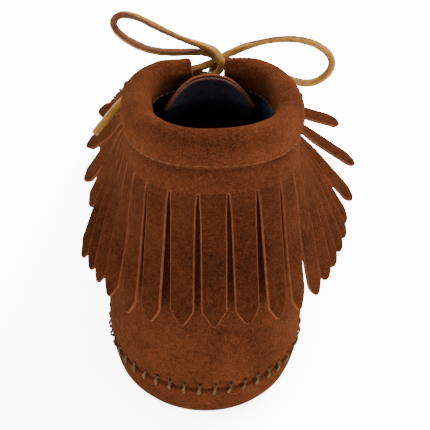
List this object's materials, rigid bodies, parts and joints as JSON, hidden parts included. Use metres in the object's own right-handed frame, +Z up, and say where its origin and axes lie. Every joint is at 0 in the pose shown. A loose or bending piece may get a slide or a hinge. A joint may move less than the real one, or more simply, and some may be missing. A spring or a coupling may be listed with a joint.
{
  "type": "moccasin",
  "caption": "Soft-soled ankle-high suede moccasin for the right foot: wrap-around bottom with whip-stitched seam, rolled drawstring cuff, cut fringe all round and a bow at the front",
  "frame": {"origin": "on the ground under the middle of the sole's length, on the sole's underside", "axes": "+X to the wearer's right (outer side), +Y toward the toe, +Z up"},
  "size_m": [0.1191, 0.2437, 0.1278],
  "materials": {
    "suede": "napped rust-brown suede, matte",
    "pile_lining": "short black pile",
    "sole": "dark thin sole, matte",
    "lace": "suede thong, brown face and golden flesh side",
    "whip_thread": "waxed twisted thread, olive brown",
    "fine_thread": "fine tan machine thread"
  },
  "bodies": {
    "boot": {"outsole": "sole", "bottom_wrap": "suede", "vamp_plug": "suede", "heel_quarter": "suede", "boot_lining": "pile_lining", "footbed": "pile_lining", "cuff_tunnel": "suede", "fringe_band": "suede", "lace_left_half": "lace", "lace_right_half": "lace", "lace_tunnel_run": "lace", "sole_whip_stitches": "whip_thread", "cuff_topstitch": "fine_thread", "vamp_seam_stitches": "fine_thread"},
    "tongue_flap": {"tongue": "suede", "tongue_lining": "pile_lining"},
    "fringe_01": {"strand_01": "suede"},
    "fringe_02": {"strand_02": "suede"},
    "fringe_03": {"strand_03": "suede"},
    "fringe_04": {"strand_04": "suede"},
    "fringe_05": {"strand_05": "suede"},
    "fringe_06": {"strand_06": "suede"},
    "fringe_07": {"strand_07": "suede"},
    "fringe_08": {"strand_08": "suede"},
    "fringe_09": {"strand_09": "suede"},
    "fringe_10": {"strand_10": "suede"},
    "fringe_11": {"strand_11": "suede"},
    "fringe_12": {"strand_12": "suede"},
    "fringe_13": {"strand_13": "suede"},
    "fringe_14": {"strand_14": "suede"},
    "fringe_15": {"strand_15": "suede"},
    "fringe_16": {"strand_16": "suede"},
    "fringe_17": {"strand_17": "suede"},
    "fringe_18": {"strand_18": "suede"},
    "fringe_19": {"strand_19": "suede"},
    "fringe_20": {"strand_20": "suede"},
    "fringe_21": {"strand_21": "suede"},
    "fringe_22": {"strand_22": "suede"},
    "fringe_23": {"strand_23": "suede"},
    "fringe_24": {"strand_24": "suede"},
    "fringe_25": {"strand_25": "suede"},
    "fringe_26": {"strand_26": "suede"},
    "fringe_27": {"strand_27": "suede"}
  },
  "joints": [
    {"name": "front_tongue_tilt", "type": "hinge", "parent": "boot", "child": "tongue_flap", "pos_m": [0.0034, 0.0015, 0.0612], "axis": [1, 0, 0], "range_deg": [0, 12], "stiffness_Nm_per_rad": 0.05},
    {"name": "strand_01_swing", "type": "hinge", "parent": "boot", "child": "fringe_01", "pos_m": [-0.0076, -0.00338, 0.08158], "axis": [0.9837, 0.1798, 0], "range_deg": [0, 45]},
    {"name": "strand_02_swing", "type": "hinge", "parent": "boot", "child": "fringe_02", "pos_m": [-0.01495, -0.00698, 0.08224], "axis": [0.8868, 0.4622, 0], "range_deg": [0, 45]},
    {"name": "strand_03_swing", "type": "hinge", "parent": "boot", "child": "fringe_03", "pos_m": [-0.02137, -0.01371, 0.08347], "axis": [0.6981, 0.716, 0], "range_deg": [0, 45]},
    {"name": "strand_04_swing", "type": "hinge", "parent": "boot", "child": "fringe_04", "pos_m": [-0.02634, -0.02285, 0.08504], "axis": [0.4805, 0.877, 0], "range_deg": [0, 30]},
    {"name": "strand_05_swing", "type": "hinge", "parent": "boot", "child": "fringe_05", "pos_m": [-0.0296, -0.03328, 0.08683], "axis": [0.2892, 0.9573, 0], "range_deg": [0, 12]},
    {"name": "strand_06_swing", "type": "hinge", "parent": "boot", "child": "fringe_06", "pos_m": [-0.03126, -0.0439, 0.08874], "axis": [0.1401, 0.9901, 0], "range_deg": [0, 45]},
    {"name": "strand_07_swing", "type": "hinge", "parent": "boot", "child": "fringe_07", "pos_m": [-0.03183, -0.05423, 0.09057], "axis": [0.0351, 0.9994, 0], "range_deg": [0, 45]},
    {"name": "strand_08_swing", "type": "hinge", "parent": "boot", "child": "fringe_08", "pos_m": [-0.03177, -0.06416, 0.09234], "axis": [-0.0144, 0.9999, 0], "range_deg": [0, 45]},
    {"name": "strand_09_swing", "type": "hinge", "parent": "boot", "child": "fringe_09", "pos_m": [-0.03114, -0.0744, 0.0941], "axis": [-0.1091, 0.994, 0], "range_deg": [0, 45]},
    {"name": "strand_10_swing", "type": "hinge", "parent": "boot", "child": "fringe_10", "pos_m": [-0.02942, -0.08468, 0.09589], "axis": [-0.2611, 0.9653, 0], "range_deg": [0, 45]},
    {"name": "strand_11_swing", "type": "hinge", "parent": "boot", "child": "fringe_11", "pos_m": [-0.02601, -0.09455, 0.09761], "axis": [-0.4739, 0.8806, 0], "range_deg": [0, 45]},
    {"name": "strand_12_swing", "type": "hinge", "parent": "boot", "child": "fringe_12", "pos_m": [-0.01983, -0.10346, 0.09907], "axis": [-0.7324, 0.6809, 0], "range_deg": [0, 45]},
    {"name": "strand_13_swing", "type": "hinge", "parent": "boot", "child": "fringe_13", "pos_m": [-0.01063, -0.1094, 0.10009], "axis": [-0.9396, 0.3424, 0], "range_deg": [0, 45]},
    {"name": "strand_14_swing", "type": "hinge", "parent": "boot", "child": "fringe_14", "pos_m": [0.00027, -0.11137, 0.10051], "axis": [-0.9997, 0.0258, 0], "range_deg": [0, 45]},
    {"name": "strand_15_swing", "type": "hinge", "parent": "boot", "child": "fringe_15", "pos_m": [0.01122, -0.11062, 0.1003], "axis": [-0.9794, -0.2019, 0], "range_deg": [0, 45]},
    {"name": "strand_16_swing", "type": "hinge", "parent": "boot", "child": "fringe_16", "pos_m": [0.02122, -0.10627, 0.09951], "axis": [-0.8284, -0.5601, 0], "range_deg": [0, 45]},
    {"name": "strand_17_swing", "type": "hinge", "parent": "boot", "child": "fringe_17", "pos_m": [0.02858, -0.0984, 0.09823], "axis": [-0.5755, -0.8178, 0], "range_deg": [0, 45]},
    {"name": "strand_18_swing", "type": "hinge", "parent": "boot", "child": "fringe_18", "pos_m": [0.03286, -0.08883, 0.09652], "axis": [-0.3409, -0.9401, 0], "range_deg": [0, 45]},
    {"name": "strand_19_swing", "type": "hinge", "parent": "boot", "child": "fringe_19", "pos_m": [0.035, -0.07877, 0.09483], "axis": [-0.1658, -0.9862, 0], "range_deg": [0, 45]},
    {"name": "strand_20_swing", "type": "hinge", "parent": "boot", "child": "fringe_20", "pos_m": [0.03581, -0.06855, 0.09289], "axis": [-0.0474, -0.9989, 0], "range_deg": [0, 45]},
    {"name": "strand_21_swing", "type": "hinge", "parent": "boot", "child": "fringe_21", "pos_m": [0.03585, -0.05875, 0.0912], "axis": [0.0066, -1, 0], "range_deg": [0, 45]},
    {"name": "strand_22_swing", "type": "hinge", "parent": "boot", "child": "fringe_22", "pos_m": [0.03535, -0.04883, 0.08962], "axis": [0.0874, -0.9962, 0], "range_deg": [0, 45]},
    {"name": "strand_23_swing", "type": "hinge", "parent": "boot", "child": "fringe_23", "pos_m": [0.03383, -0.03845, 0.08772], "axis": [0.2157, -0.9765, 0], "range_deg": [0, 45]},
    {"name": "strand_24_swing", "type": "hinge", "parent": "boot", "child": "fringe_24", "pos_m": [0.03075, -0.02805, 0.086], "axis": [0.386, -0.9225, 0], "range_deg": [0, 45]},
    {"name": "strand_25_swing", "type": "hinge", "parent": "boot", "child": "fringe_25", "pos_m": [0.02582, -0.01815, 0.08427], "axis": [0.593, -0.8052, 0], "range_deg": [0, 40]},
    {"name": "strand_26_swing", "type": "hinge", "parent": "boot", "child": "fringe_26", "pos_m": [0.01927, -0.00999, 0.08278], "axis": [0.8026, -0.5965, 0], "range_deg": [0, 45]},
    {"name": "strand_27_swing", "type": "hinge", "parent": "boot", "child": "fringe_27", "pos_m": [0.01179, -0.00473, 0.08179], "axis": [0.948, -0.3183, 0], "range_deg": [0, 45]}
  ]
}
